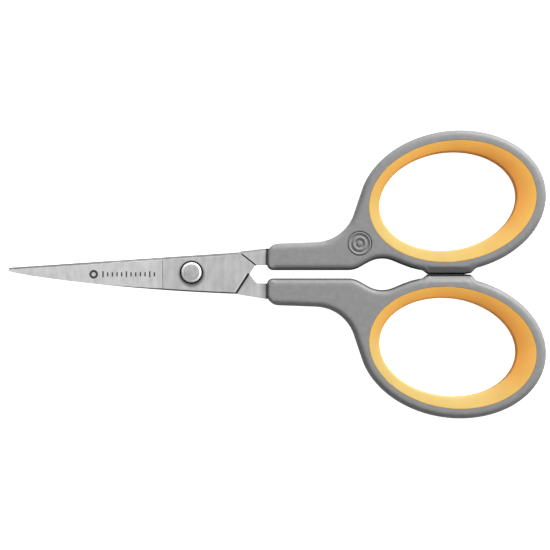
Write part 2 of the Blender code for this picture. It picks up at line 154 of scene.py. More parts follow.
HEEL_CREASE = ((-7.6, 4.38), (-4.15, 1.66), 0.38, 0.3)
SHOULDER_LINE = ((SHOULDER_X, 6), (SHOULDER_X + 0.12, -6), 0.16, 0.05)
GRINDER_SIZE = (60, 30, 4)
CUTTER_REACH = 4
SCALE_FROM_X = -37.2
SCALE_Y = 0.0
SCALE_TICKS = 12
SCALE_STEP = 1.0
SCALE_LINE = 0.3
SCALE_LONG = 1.3
SCALE_SHORT = 0.9
SCALE_DEPTH = 0.04
ZERO_RING = (-39.2, 0.0, 0.93, 0.45)
LOWER_EDGE_STEPS = 48
ARC_STEP = radians(6)

# (radius, height) profiles turned about the pivot
RECESS_PROFILE = ((0, 4), (2.5, 4), (2.5, 1.4), (2.44, 0.8), (0, 0.8))
RIVET_PROFILE = (
    (0, 2.14), (1.72, 2.15), (1.78, 2.14), (2.0, 2.07), (2.1, 1.98), (2.15, 1.86), (2.16, 1.7),
    (2.17, 1.5), (2.17, 0.85), (1.42, 0.85), (1.42, -2.1), (2.05, -2.1), (2.0, -2.3),
    (1.75, -2.48), (1.3, -2.58), (0.7, -2.6), (0.45, -2.52), (0, -2.5))
WASHER_PROFILE = ((1.6, -1.62), (2.45, -1.62), (2.5, -1.67), (2.5, -1.9), (2.4, -2.0), (1.6, -2.0))

# ---- studio, in metres
KEY_ELEVATION = radians(24)
KEY_AZIMUTH = radians(57)
KEY_SIZE = (0.6, 0.4)
KEY_ENERGY = 16
FLOOR_HALF_WIDTH = 3.0
FLOOR_DROP = 0.0002
BOUNCE_DROP = 0.0001
BACKDROP_RADIUS = 4.0
CAMERA_LENS = 200
CAMERA_SENSOR = 36
CAMERA_REACH = 20
CAMERA_FIELD = 0.11756
CAMERA_FOCUS_HEIGHT = 1.3 * MM
CAMERA_OFFSET = (-0.43 * MM, -0.15 * MM)

ORIGIN = Vector(frame["joints"][0]["pos_m"]) - Vector((*PIVOT, 0)) * MM


# ---- plan outlines

def ellipse_point(outline, angle, inset=0.0):
    centre_x, centre_y, half_length, half_width, tilt = outline
    along = (half_length - inset) * cos(angle)
    across = (half_width - inset) * sin(angle)
    x = centre_x + along * cos(tilt) - across * sin(tilt)
    y = centre_y + along * sin(tilt) + across * cos(tilt)
    return (x, y)


def bezier(start, start_handle, end_handle, end, steps):
    points = []
    for i in range(steps + 1):
        t = i / steps
        weights = ((1 - t) ** 3, 3 * t * (1 - t) ** 2, 3 * t * t * (1 - t), t ** 3)
        knots = (start, start_handle, end_handle, end)
        points.append(tuple(
            sum(w * knot[axis] for w, knot in zip(weights, knots)) for axis in (0, 1)))
    return points


def meet(point, angle, other, other_angle):
    """Crossing of two lines, each given by a point and a direction."""
    dx = other[0] - point[0]
    dy = other[1] - point[1]
    reach = (dx * sin(other_angle) - dy * cos(other_angle)) / sin(other_angle - angle)
    return (point[0] + reach * cos(angle), point[1] + reach * sin(angle))


def round_corners(corners, arc_step=ARC_STEP):
    """A closed outline through (x, y, radius) corners; radius 0 keeps the point itself."""
    points = []
    for i, (x, y, radius) in enumerate(corners):
        if radius == 0:
            points.append((x, y))
            continue
        before = corners[i - 1]
        after = corners[(i + 1) % len(corners)]
        heading_in = atan2(y - before[1], x - before[0])
        heading_out = atan2(after[1] - y, after[0] - x)
        turn = (heading_out - heading_in + pi) % (2 * pi) - pi
        side = 1 if turn > 0 else -1
        setback = radius * tan(abs(turn) / 2)
        start = (x - setback * cos(heading_in), y - setback * sin(heading_in))
        centre = (start[0] - side * radius * sin(heading_in),
                  start[1] + side * radius * cos(heading_in))
        steps = max(2, round(abs(turn) / arc_step))
        for k in range(steps + 1):
            heading = heading_in + turn * k / steps
            points.append((centre[0] + side * radius * sin(heading),
                           centre[1] - side * radius * cos(heading)))
    return points


def sharp(points):
    return [(x, y, 0) for x, y in points]


def subdivide(points, longest):
    """The same closed outline with no side longer than given."""
    result = []
    for i, (x, y) in enumerate(points):
        next_x, next_y = points[(i + 1) % len(points)]
        parts = max(1, round(sqrt((next_x - x) ** 2 + (next_y - y) ** 2) / longest))
        for k in range(parts):
            result.append((x + (next_x - x) * k / parts, y + (next_y - y) * k / parts))
    return result


# ---- mesh helpers

def new_piece(name, bm, recalc=True):
    """A piece from a bmesh in millimetres from the meeting plane."""
    if recalc:
        bmesh.ops.recalc_face_normals(bm, faces=bm.faces)
    bmesh.ops.scale(bm, verts=bm.verts, vec=(MM, MM, MM))
    bmesh.ops.translate(bm, verts=bm.verts, vec=ORIGIN)
    mesh = bpy.data.meshes.new(name)
    bm.to_mesh(mesh)
    bm.free()
    obj = bpy.data.objects.new(name, mesh)
    bpy.context.scene.collection.objects.link(obj)
    return obj


def smooth_by_angle(obj, degrees):
    obj.data.shade_smooth()
    obj.data.set_sharp_from_angle(angle=radians(degrees))


def merge_flat_faces(obj):
    bm = bmesh.new()
    bm.from_mesh(obj.data)
    bmesh.ops.dissolve_limit(bm, angle_limit=radians(0.1), verts=bm.verts, edges=bm.edges,
                             delimit={"MATERIAL"})
    bm.to_mesh(obj.data)
    bm.free()


def weigh_normals(obj):
    """Let large flat faces set the shading where they meet narrow rounded ones."""
    modifier = obj.modifiers.new("weighted_normals", "WEIGHTED_NORMAL")
    modifier.weight = 100
    modifier.keep_sharp = True


def lofted(rings, closed):
    """Faces between rings of points in turn; an open row of rings gets a cap at each end."""
    bm = bmesh.new()
    loops = [[bm.verts.new(point) for point in ring] for ring in rings]
    following = loops[1:] + loops[:1] if closed else loops[1:]
    for loop, next_loop in zip(loops, following):
        for k in range(len(loop)):
            n = (k + 1) % len(loop)
            bm.faces.new((loop[k], next_loop[k], next_loop[n], loop[n]))
    if not closed:
        bm.faces.new(loops[0])
        bm.faces.new(loops[-1])
    return bm


def lathed(profile, centre, closed, steps=96):
    """A (radius, height) profile turned about the upright line through centre."""
    bm = bmesh.new()
    columns = []
    for i in range(steps):
        angle = 2 * pi * i / steps
        columns.append([
            None if radius == 0 else bm.verts.new(
                (centre[0] + radius * cos(angle), centre[1] + radius * sin(angle), height))
            for radius, height in profile])
    poles = {k: bm.verts.new((*centre, height))
             for k, (radius, height) in enumerate(profile) if radius == 0}
    spans = len(profile) if closed else len(profile) - 1
    for i in range(steps):
        column, after = columns[i], columns[(i + 1) % steps]
        for k in range(spans):
            n = (k + 1) % len(profile)
            corners = [column[k] or poles[k], after[k] or poles[k],
                       after[n] or poles.get(n), column[n] or poles.get(n)]
            bm.faces.new(list(dict.fromkeys(corners)))
    return bm


def polygon_distance(points, polygon):
    """Distance from each point to the outline of a closed polygon."""
    start = np.asarray(polygon, float)
    span = np.roll(start, -1, axis=0) - start
    length_squared = (span ** 2).sum(1)
    result = np.empty(len(points))
    for first in range(0, len(points), 2000):
        block = np.asarray(points[first:first + 2000], float)
        offset = block[:, None, :] - start[None]
        share = np.clip((offset * span).sum(2) / length_squared, 0, 1)
        gap = offset - share[..., None] * span
        result[first:first + 2000] = np.sqrt((gap ** 2).sum(2)).min(1)
    return result


def inside(points, polygon):
    """Even-odd test of each point against a closed polygon."""
    points = np.asarray(points, float)
    start = np.asarray(polygon, float)
    end = np.roll(start, -1, axis=0)
    result = np.zeros(len(points), bool)
    for (x0, y0), (x1, y1) in zip(start, end):
        spans = (y0 > points[:, 1]) != (y1 > points[:, 1])
        if y0 != y1:
            crossing = x0 + (points[:, 1] - y0) * (x1 - x0) / (y1 - y0)
            result ^= spans & (points[:, 0] < crossing)
    return result


def left_normals(points):
    """Unit vectors pointing to the left of a closed path's direction."""
    points = np.asarray(points, float)
    forward = np.roll(points, -1, axis=0) - points
    forward /= np.linalg.norm(forward, axis=1)[:, None]
    blended = forward + np.roll(forward, 1, axis=0)
    blended /= np.linalg.norm(blended, axis=1)[:, None]
    return np.stack([-blended[:, 1], blended[:, 0]], axis=1)


# ---- handles

def handle_outline(bumper_faces):
    """Shank with rounded end, arch, oval loop with its bumper, and the sweeping outer fillet."""
    loop_turn = (LOOP_ENDS_AT - LOOP_STARTS_AT) / LOOP_SIDES
    loop = [ellipse_point(LOOP_OUTLINE, LOOP_STARTS_AT + loop_turn * i)
            for i in range(LOOP_SIDES + 1)]
    heading_at_end = atan2(loop[-1][1] - loop[-2][1], loop[-1][0] - loop[-2][0])
    shoulder = meet((SHANK_END_X, SHANK_OUTER_Y), SHANK_FLARE, loop[-1], heading_at_end)
    inner_radius, outer_radius = SHANK_CORNER_RADII
    inner_end = [(SHANK_END_X, SHANK_INNER_Y, inner_radius), *ARCH]
    outer_end = [(*shoulder, SHOULDER_FILLET), (SHANK_END_X, SHANK_OUTER_Y, outer_radius)]
    plain = round_corners(inner_end + sharp(loop) + outer_end)
    low_x, low_y = zip(*sorted(point for point in plain if point[1] < GAP_SIDE_BELOW_Y))
    corners = [(x, float(np.interp(x, low_x, low_y)), BUMPER_BLEND) for x in BUMPER_SPAN]
    first = next(i for i, (x, _) in enumerate(plain) if x > BUMPER_SPAN[0] - BUMPER_MARGIN)
    last = next(i for i, (x, _) in enumerate(plain) if x > BUMPER_SPAN[1] + BUMPER_MARGIN)
    bumper = [corners[0], *bumper_faces, corners[1]]
    return round_corners(sharp(plain[:first]) + bumper + sharp(plain[last:]))


def rim_height(distance):
    """Height of the handle's face at a distance in from its outline."""
    share = np.clip(1 - np.asarray(distance) / RIM_WIDTH, 0, 1)
    return HANDLE_TOP - RIM_HEIGHT + RIM_HEIGHT * (1 - share ** 3) ** 0.4


def smooth_step(value, low, high):
    share = np.clip((value - low) / (high - low), 0, 1)
    return share * share * (3 - 2 * share)


def face_height(points, distance):
    """Height of the face at plan points: the rim everywhere, a flatter chamfer along the bumper."""
    points = np.asarray(points)
    distance = np.asarray(distance)
    x = points[:, 0]
    left, right = BUMPER_SPAN
    fade, fade_left, fade_right = BUMPER_FADE
    along = smooth_step(x, left + fade, left + fade_left)
    along = along * smooth_step(-x, -right + fade, -right + fade_right)
    bumper = along * (points[:, 1] < BUMPER_BELOW_Y)
    reach = np.clip(BUMPER_CHAMFER - distance, 0, None)
    chamfer = HANDLE_TOP - np.sqrt((reach * BUMPER_SLOPE) ** 2 + BUMPER_CREST ** 2) + BUMPER_CREST
    chamfer -= BUMPER_LIP_DROP * np.clip(1 - distance / BUMPER_LIP_WIDTH, 0, 1) ** 0.7
    end = 1 - smooth_step(x, SHANK_END_X + SHANK_END_FADE[0], SHANK_END_X + SHANK_END_FADE[1])
    rim = rim_height(distance * (1 + SHANK_END_TIGHTENING * end))
    return rim * (1 - bumper) + chamfer * bumper


def badge_ring(radius):
    return [(BADGE_CENTRE[0] + radius * cos(2 * pi * i / BADGE_SIDES),
             BADGE_CENTRE[1] + radius * sin(2 * pi * i / BADGE_SIDES)) for i in range(BADGE_SIDES)]


def make_handle(name, side, bumper_faces, badge):
    """A handle moulding: rounded rim, flat faces up to the seam, and a wall down through the loop."""
    outline = subdivide(handle_outline(bumper_faces), OUTLINE_STEP)
    normals = left_normals(outline)
    base = np.asarray(outline)

    wall_steps = [0.0] + [RIM_WIDTH * (1 - cos(radians(a))) for a in RIM_WALL_ANGLES]
    first_inset = wall_steps[-1]
    boundary = base + normals * first_inset
    seam = [ellipse_point(SEAM_OUTLINE, 2 * pi * i / GRIP_SIDES) for i in range(GRIP_SIDES)]
    circle = badge_ring(BADGE_RADIUS)

    def face_mesh(with_badge):
        """Vertices (x, y, height) and triangles of one face inside the steep part of the rim."""
        candidates = []
        for degrees in RIM_FACE_ANGLES:
            inset = RIM_WIDTH * (1 - cos(radians(degrees)))
            ring = base + normals * inset
            reached = polygon_distance(ring, outline)
            candidates.append(ring[reached > inset - 0.012])
        extra = np.concatenate(candidates)
        keep = ~inside(extra, seam) & (polygon_distance(extra, seam) > 0.12)
        if with_badge:
            centre_gap = np.linalg.norm(extra - np.asarray(BADGE_CENTRE), axis=1)
            keep &= centre_gap > BADGE_RADIUS + 0.1
        extra = extra[keep]
        loops = [boundary, np.asarray(seam)] + ([np.asarray(circle)] if with_badge else [])
        points = np.concatenate(loops + [extra])
        edges, first = [], 0
        for loop in loops:
            edges += [(first + i, first + (i + 1) % len(loop)) for i in range(len(loop))]
            first += len(loop)
        flat = delaunay_2d_cdt([Vector(p) for p in points], edges, [], 0, 1e-6)
        vertices = np.array([tuple(v) for v in flat[0]])
        triangles = np.array([f for f in flat[2]])
        middles = vertices[triangles].mean(1)
        keep = inside(middles, boundary) & ~inside(middles, seam)
        if with_badge:
            keep &= ~inside(middles, circle)
        heights = face_height(vertices, polygon_distance(vertices, outline))
        heights[:len(boundary)] = face_height(boundary, np.full(len(boundary), first_inset))
        return vertices, heights, triangles[keep]

    bm = bmesh.new()
    rings = {}
    for facing in (1, -1):
        rings[facing] = []
        for inset in wall_steps[:-1]:
            ring = base + normals * inset
            heights = face_height(ring, np.full(len(ring), inset)) * facing
            rings[facing].append([bm.verts.new((x, side * y, z)) for (x, y), z in zip(ring, heights)])
    count = len(base)
    seams = {}
    for facing in (1, -1):
        with_badge = badge and facing > 0
        vertices, heights, triangles = face_mesh(with_badge)
        made = [bm.verts.new((x, side * y, facing * z)) for (x, y), z in zip(vertices, heights)]
        for a, b, c in triangles:
            bm.faces.new((made[a], made[b], made[c]))
        rings[facing].append(made[:count])
        badge_start = count + GRIP_SIDES
        seams[facing] = made[count:badge_start]
        if with_badge:
            fill_badge(bm, made[badge_start:badge_start + BADGE_SIDES], side)
    for facing in (1, -1):
        for ring, next_ring in zip(rings[facing], rings[facing][1:]):
            for k in range(count):
                n = (k + 1) % count
                bm.faces.new((ring[k], ring[n], next_ring[n], next_ring[k]))
    for upper, lower in ((rings[1][0], rings[-1][0]), (seams[1], seams[-1])):
        for k in range(len(upper)):
            n = (k + 1) % len(upper)
            bm.faces.new((upper[k], upper[n], lower[n], lower[k]))
    loose = [v for v in bm.verts if not v.link_faces]
    bmesh.ops.delete(bm, geom=loose, context="VERTS")
    handle = new_piece(name, bm)
    smooth_by_angle(handle, 38)
    weigh_normals(handle)
    return handle


def fill_badge(bm, outer, side):
    """Turned relief inside the badge's circle, following the height of its rim."""
    steps = len(outer)
    previous = outer
    rim = [vertex.co.z for vertex in outer]
    for radius, rise in BADGE_RELIEF:
        share = radius / BADGE_RADIUS
        ring = []
        for (x, y), edge in zip(badge_ring(radius), rim):
            level = HANDLE_TOP + (edge - HANDLE_TOP) * share
            ring.append(bm.verts.new((x, side * y, level + rise)))
        for k in range(steps):
            n = (k + 1) % steps
            bm.faces.new((previous[k], previous[n], ring[n], ring[k]))
        previous = ring
    middle = bm.verts.new((BADGE_CENTRE[0], side * BADGE_CENTRE[1], HANDLE_TOP))
    for k in range(steps):
        bm.faces.new((previous[k], previous[(k + 1) % steps], middle))


# ---- grips

def grip_section(width):
    """Top half of the grip's section as (distance in from the seam, height), seam to hole edge."""
    slope_run = width - GRIP_FILLET * (1 - sin(GRIP_EDGE_TILT))
    points = [(0.0, GRIP_TOP - 0.07), (0.04, GRIP_TOP - 0.02)]
    steps = 14
    height = GRIP_TOP
    for i in range(1, steps + 1):
        share = (i - 0.5) / steps
        height -= slope_run / steps * tan(GRIP_SEAM_TILT + (GRIP_EDGE_TILT - GRIP_SEAM_TILT) * share)
        points.append((slope_run * i / steps, height))
    centre = (slope_run - GRIP_FILLET * sin(GRIP_EDGE_TILT), height - GRIP_FILLET * cos(GRIP_EDGE_TILT))
    steps = 9
    for i in range(1, steps + 1):
        tilt = GRIP_EDGE_TILT + (pi / 2 - GRIP_EDGE_TILT) * i / steps
        points.append((centre[0] + GRIP_FILLET * sin(tilt), centre[1] + GRIP_FILLET * cos(tilt)))
    return points


def make_grip(name, side):
    rings = []
    for i in range(GRIP_SIDES):
        angle = 2 * pi * i / GRIP_SIDES
        outer = Vector(ellipse_point(SEAM_OUTLINE, angle, SEAM_GAP))
        inner = Vector(ellipse_point(HOLE_OUTLINE, angle))
        inward = (inner - outer).normalized()
        top = grip_section((inner - outer).length)
        section = top + [(depth, -height) for depth, height in reversed(top)]
        ring = []
        for depth, height in section:
            point = outer + inward * depth
            ring.append((point.x, side * point.y, height))
        rings.append(ring)
    grip = new_piece(name, lofted(rings, True))
    smooth_by_angle(grip, 50)
    return grip


# ---- blades

def tang_corners():
    root_x, root_inner, root_outer = TANG_ROOT
    end_x, end_inner, end_outer = TANG_END
    end = [(end_x, end_inner, TANG_END_ROUND), (end_x, end_outer, TANG_END_ROUND)]
    return [(root_x, root_inner, 0), *end, (root_x, root_outer, 0)]


def lower_edge(lift):
    first_handle, second_handle = LOWER_EDGE_HANDLES
    return bezier((TIP_X, LOWER_EDGE_TIP_Y), (first_handle[0], first_handle[1] + lift),
                  (second_handle[0], second_handle[1] + lift),
                  (LOWER_EDGE_ROOT[0], LOWER_EDGE_ROOT[1] + lift), LOWER_EDGE_STEPS)


def front_blade_outline():
    tip = (TIP_X, FRONT_EDGE_TIP_Y, TIP_ROUND)
    return round_corners([*sharp(lower_edge(0)), *FRONT_HEEL, *tang_corners(), *FRONT_NECK, tip])


def back_blade_outline():
    tang = [(x, -y, radius) for x, y, radius in reversed(tang_corners())]
    tip = (TIP_X, BACK_SPINE_TIP_Y, TIP_ROUND)
    return round_corners([*sharp(lower_edge(EDGE_SETBACK)), *BACK_NECK, *tang, *BACK_HEEL, tip])


def plate(name, outline, low, high, rounding):
    """A flat plate between two heights with its rims rounded inside the outline."""
    curve = bpy.data.curves.new(name, "CURVE")
    curve.dimensions = "2D"
    curve.fill_mode = "BOTH"
    curve.extrude = (high - low) / 2 - rounding
    curve.bevel_depth = rounding
    curve.bevel_resolution = 1
    curve.offset = -rounding
    spline = curve.splines.new("POLY")
    spline.points.add(len(outline) - 1)
    for point, (x, y) in zip(spline.points, outline):
        point.co = (x, y, 0, 1)
    spline.use_cyclic_u = True
    curve_object = bpy.data.objects.new(name + "_curve", curve)
    bpy.context.scene.collection.objects.link(curve_object)
    evaluated = curve_object.evaluated_get(bpy.context.evaluated_depsgraph_get())
    mesh = bpy.data.meshes.new_from_object(evaluated)
    bpy.data.objects.remove(curve_object)
    bm = bmesh.new()
    bm.from_mesh(mesh)
    bmesh.ops.remove_doubles(bm, verts=bm.verts, dist=0.001)
    bmesh.ops.translate(bm, verts=bm.verts, vec=(0, 0, (high + low) / 2))
    return bm


def joggle(bm, corner_from, corner_to, drop):
    """Offset everything beyond the joggle line by drop, through a straight ramp between two bends."""
    line = Vector((corner_to[0] - corner_from[0], corner_to[1] - corner_from[1], 0)).normalized()
    beyond = Vector((-line.y, line.x, 0))
    if beyond.x < 0:
        beyond = -beyond
    start = Vector((corner_from[0], corner_from[1], 0))
    for offset in (0, JOGGLE_RUN):
        geometry = bm.verts[:] + bm.edges[:] + bm.faces[:]
        bmesh.ops.bisect_plane(bm, geom=geometry, dist=0.0001, plane_co=start + beyond * offset,
                               plane_no=beyond)
    for vertex in bm.verts:
        distance = (vertex.co - start).dot(beyond)
        vertex.co.z += min(max(distance / JOGGLE_RUN, 0), 1) * drop


def cut(obj, bm, name, material=None):
    """Take a bmesh away from a piece with an exact Boolean; the cut faces may get their own material."""
    cutter = new_piece(name, bm)
    modifier = obj.modifiers.new(name, "BOOLEAN")
    modifier.object = cutter
    modifier.operation = "DIFFERENCE"
    modifier.solver = "EXACT"
    if material:
        cutter.data.materials.append(material)
        modifier.material_mode = "TRANSFER"
    evaluated = obj.evaluated_get(bpy.context.evaluated_depsgraph_get())
    mesh = bpy.data.meshes.new_from_object(evaluated)
    obj.modifiers.remove(modifier)
    obj.data = mesh
    bpy.data.objects.remove(cutter)


def swept(path, section):
    """A (depth to the left of the path, height) section swept along a plan path."""
    rings = []
    for i, point in enumerate(path):
        before = path[max(i - 1, 0)]
        after = path[min(i + 1, len(path) - 1)]
        heading = atan2(after[1] - before[1], after[0] - before[0])
        rings.append([(point[0] - depth * sin(heading), point[1] + depth * cos(heading), height)
                      for depth, height in section])
    return lofted(rings, False)


def face_grinder(side):
    """Cutter that thins the blade from its shoulder to its tip."""
    slope = atan2(BLADE_FAR - BLADE_NEAR - TIP_THICKNESS, SHOULDER_X - TIP_X)
    bm = bmesh.new()
    bmesh.ops.create_cube(bm, size=1)
    bmesh.ops.scale(bm, verts=bm.verts, vec=GRINDER_SIZE)
    bmesh.ops.translate(bm, verts=bm.verts, vec=(-18, 0, GRINDER_SIZE[2] / 2))
    bmesh.ops.transform(bm, verts=bm.verts, matrix=Matrix.Rotation(-slope, 4, "Y"))
    bmesh.ops.translate(bm, verts=bm.verts, vec=(SHOULDER_X, 0, BLADE_FAR))
    if side < 0:
        bmesh.ops.transform(bm, verts=bm.verts, matrix=Matrix.Scale(-1, 4, (0, 0, 1)))
    return bm


def front_edge_path():
    slope = (FRONT_EDGE_ROOT[1] - FRONT_EDGE_TIP_Y) / (FRONT_EDGE_ROOT[0] - TIP_X)
    return [(x, FRONT_EDGE_TIP_Y + slope * (x - TIP_X)) for x in (EDGE_ENDS_X, TIP_X - 1)]


def back_edge_path():
    edge = lower_edge(EDGE_SETBACK)
    beyond_tip = (2 * edge[0][0] - edge[1][0], 2 * edge[0][1] - edge[1][1])
    return [beyond_tip] + [point for point in edge if point[0] < EDGE_ENDS_X]


def lean_section(side):
    """Section of the cutting edge's bevel, above a narrow land."""
    land = BLADE_NEAR + EDGE_LAND
    crest = BLADE_FAR + 1
    inset = (crest - land) * tan(EDGE_LEAN)
    corners = ((0, land), (inset, crest), (-1, crest), (-1, land))
    return [(depth, side * height) for depth, height in corners]


def chamfer_section(side, size):
    """Section that takes a 45 degree chamfer off an outer edge."""
    over = 0.5
    return [(depth, side * height) for depth, height in (
        (-over, BLADE_FAR - size - over), (size + over, BLADE_FAR + over), (-over - 1, BLADE_FAR + over),
        (-over - 1, BLADE_FAR - size - over))]


def make_blade(name, outline, edge_path, spine_path, side, steel):
    low, high = (BLADE_NEAR, BLADE_FAR) if side > 0 else (-BLADE_FAR, -BLADE_NEAR)
    bm = plate(name, outline, low, high, EDGE_BREAK)
    corner_from = (JOGGLE_FROM[0], side * JOGGLE_FROM[1])
    corner_to = (JOGGLE_TO[0], side * JOGGLE_TO[1])
    joggle(bm, corner_from, corner_to, -side * (BLADE_NEAR + BLADE_FAR) / 2)
    blade = new_piece(name, bm, recalc=False)
    blade.data.materials.append(steel)
    bore = [(0, CUTTER_REACH), (RIVET_BORE, CUTTER_REACH),
            (RIVET_BORE, -CUTTER_REACH), (0, -CUTTER_REACH)]
    cut(blade, lathed(bore, PIVOT, False, 64), name + "_bore")
    cut(blade, face_grinder(side), name + "_grinder")
    cut(blade, swept(edge_path, lean_section(side)), name + "_edge")
    cut(blade, swept(spine_path, chamfer_section(side, SPINE_CHAMFER)), name + "_spine")
    return blade


def blade_face(x):
    """Height of the front blade's ground face along its length."""
    slope = (BLADE_FAR - BLADE_NEAR - TIP_THICKNESS) / (SHOULDER_X - TIP_X)
    return BLADE_FAR - slope * max(SHOULDER_X - x, 0)


def block(bm, low, high):
    made = bmesh.ops.create_cube(bm, size=1)["verts"]
    low, high = Vector(low), Vector(high)
    bmesh.ops.scale(bm, verts=made, vec=high - low)
    bmesh.ops.translate(bm, verts=made, vec=(low + high) / 2)


def etched_scale():
    """Cutter for a plain graduation, one tick a millimetre; etched_ring cuts the zero mark's ring."""
    bm = bmesh.new()
    for i in range(SCALE_TICKS):
        x = SCALE_FROM_X + i * SCALE_STEP
        half = SCALE_LONG / 2 if i % 5 == 0 else SCALE_SHORT / 2
        level = blade_face(x)
        block(bm, (x - SCALE_LINE / 2, SCALE_Y - half, level - SCALE_DEPTH),
              (x + SCALE_LINE / 2, SCALE_Y + half, level + 0.3))
    return bm


def etched_ring():
    level = blade_face(ZERO_RING[0])
    outer, inner = ZERO_RING[2], ZERO_RING[3]
    profile = [(inner, level + 0.3), (outer, level + 0.3),
               (outer, level - SCALE_DEPTH), (inner, level - SCALE_DEPTH)]
    return lathed(profile, ZERO_RING[:2], True, 64)


def crease(start, end, width, depth):
    """Cutter for a narrow groove across the front blade's outer face."""
    top = BLADE_FAR + 0.2
    section = [(-width / 2, top), (width / 2, top),
               (width / 5, BLADE_FAR - depth), (-width / 5, BLADE_FAR - depth)]
    return swept([start, end], section)


def make_blades(front_steel, back_steel, etch_and_crease_shade):
    lower = lower_edge(0)
    before_tip = (2 * lower[0][0] - lower[1][0], 2 * lower[0][1] - lower[1][1])
    past_root = [(LOWER_EDGE_ROOT[0], LOWER_EDGE_ROOT[1] - 0.01), (-8.2, -4.2)]
    front_spine = [before_tip] + lower[:-1] + past_root
    front = make_blade("front_blade_steel", front_blade_outline(), front_edge_path(), front_spine,
                       1, front_steel)
    cut(front, swept(HEEL_CHAMFER_PATH, chamfer_section(1, HEEL_CHAMFER)), "front_heel_chamfer")
    cut(front, etched_scale(), "front_scale", etch_and_crease_shade)
    cut(front, etched_ring(), "front_zero", etch_and_crease_shade)
    # The creases take the near-black etch material as painted shade in their grooves.
    cut(front, crease(*HEEL_CREASE), "front_crease", etch_and_crease_shade)
    cut(front, crease(*SHOULDER_LINE), "front_shoulder", etch_and_crease_shade)
    cut(front, lathed(RECESS_PROFILE, PIVOT, False), "front_recess")

    slope = (BACK_HEEL[2][1] - BACK_SPINE_TIP_Y) / (BACK_HEEL[2][0] - TIP_X)
    back_spine = [(x, BACK_SPINE_TIP_Y + slope * (x - TIP_X)) for x in (BACK_SPINE_ENDS_X, TIP_X - 1)]
    back = make_blade("back_blade_steel", back_blade_outline(), back_edge_path(), back_spine,
                      -1, back_steel)
    for blade in (front, back):
        merge_flat_faces(blade)
        smooth_by_angle(blade, 8)
    return front, back


# ---- rivet

def make_rivet():
    rivet = new_piece("pivot_rivet_steel", lathed(RIVET_PROFILE, PIVOT, False))
    washer = new_piece("rivet_washer_steel", lathed(WASHER_PROFILE, PIVOT, True))
    for piece in (rivet, washer):
        smooth_by_angle(piece, 30)
    return rivet, washer


# ---- materials

def new_material(name):
    material = bpy.data.materials.new(name)
    material.use_nodes = True
    tree = material.node_tree
    return material, tree, tree.nodes["Principled BSDF"]


def add_ramp(tree, source, stops):
    ramp = tree.nodes.new("ShaderNodeValToRGB")
    elements = ramp.color_ramp.elements
    while len(elements) < len(stops):
        elements.new(0.5)
    for element, (place, colour) in zip(elements, stops):
        element.position = place
        element.color = colour if len(colour) == 4 else (*colour, 1)
    tree.links.new(source, ramp.inputs["Fac"])
    return ramp.outputs["Color"]


def grey(value):
    return (value, value, value, 1)


def stretched_noise(tree, scale, detail=3, stretch=(1, 1, 1), roughness=0.5):
    coordinates = tree.nodes.new("ShaderNodeTexCoord")
    mapping = tree.nodes.new("ShaderNodeMapping")
    mapping.inputs["Scale"].default_value = stretch
    noise = tree.nodes.new("ShaderNodeTexNoise")
    noise.inputs["Scale"].default_value = scale
    noise.inputs["Detail"].default_value = detail
    noise.inputs["Roughness"].default_value = roughness
    tree.links.new(coordinates.outputs["Object"], mapping.inputs["Vector"])
    tree.links.new(mapping.outputs["Vector"], noise.inputs["Vector"])
    return noise.outputs["Fac"]


def set_roughness(tree, shader, source, low, high):
    rough = add_ramp(tree, source, [(0.3, grey(low)), (0.7, grey(high))])
    tree.links.new(rough, shader.inputs["Roughness"])


def map_range(tree, source, from_low, from_high, to_low=0.0, to_high=1.0):
    node = tree.nodes.new("ShaderNodeMapRange")
    limits = {"From Min": from_low, "From Max": from_high, "To Min": to_low, "To Max": to_high}
    for name, value in limits.items():
        node.inputs[name].default_value = value
    tree.links.new(source, node.inputs["Value"])
    return node.outputs["Result"]


def math_node(tree, operation, first, second=None):
    node = tree.nodes.new("ShaderNodeMath")
    node.operation = operation
    for socket, value in zip(node.inputs, (first, second)):
        if isinstance(value, (int, float)):
            socket.default_value = value
        elif value is not None:
            tree.links.new(value, socket)
    return node.outputs["Value"]


def product(tree, first, *others):
    for other in others:
        first = math_node(tree, "MULTIPLY", first, other)
    return first


def darken(tree, colour, mask, factor):
    """The colour, taken down to a share of itself where the mask is 1."""
    shade = map_range(tree, mask, 0.0, 1.0, 1.0, factor)
    mix = tree.nodes.new("ShaderNodeVectorMath")
    mix.operation = "SCALE"
    tree.links.new(colour, mix.inputs[0])
    tree.links.new(shade, mix.inputs["Scale"])
    return mix.outputs["Vector"]


def blend(tree, mask, first, second):
    """The first colour where the mask is 0 and the second where it is 1."""
    mix = tree.nodes.new("ShaderNodeMix")
    mix.data_type = "RGBA"
    tree.links.new(mask, mix.inputs["Factor"])
    for colour, socket in ((first, mix.inputs["A"]), (second, mix.inputs["B"])):
        if isinstance(colour, tuple):
            socket.default_value = colour
        else:
            tree.links.new(colour, socket)
    return mix.outputs["Result"]


def position_parts(tree):
    coordinates = tree.nodes.new("ShaderNodeTexCoord")
    split = tree.nodes.new("ShaderNodeSeparateXYZ")
    tree.links.new(coordinates.outputs["Object"], split.inputs["Vector"])
    return split.outputs["X"], split.outputs["Y"], split.outputs["Z"]


def normal_parts(tree, kind="ShaderNodeTexCoord"):
    """The surface's direction: the piece's own axes by default, the world's from a geometry node."""
    source = tree.nodes.new(kind)
    split = tree.nodes.new("ShaderNodeSeparateXYZ")
    tree.links.new(source.outputs["Normal"], split.inputs["Vector"])
    return split.outputs["X"], split.outputs["Y"], split.outputs["Z"]


def line_distance(tree, x, y, start, end):
    """Signed distance in metres to the left of the plan line from start to end, in millimetres."""
    heading = atan2(end[1] - start[1], end[0] - start[0])
    place = ORIGIN + Vector((start[0], start[1], 0)) * MM
    across = math_node(tree, "MULTIPLY", math_node(tree, "SUBTRACT", x, place.x), -sin(heading))
    along = math_node(tree, "MULTIPLY", math_node(tree, "SUBTRACT", y, place.y), cos(heading))
    return math_node(tree, "ADD", across, along)


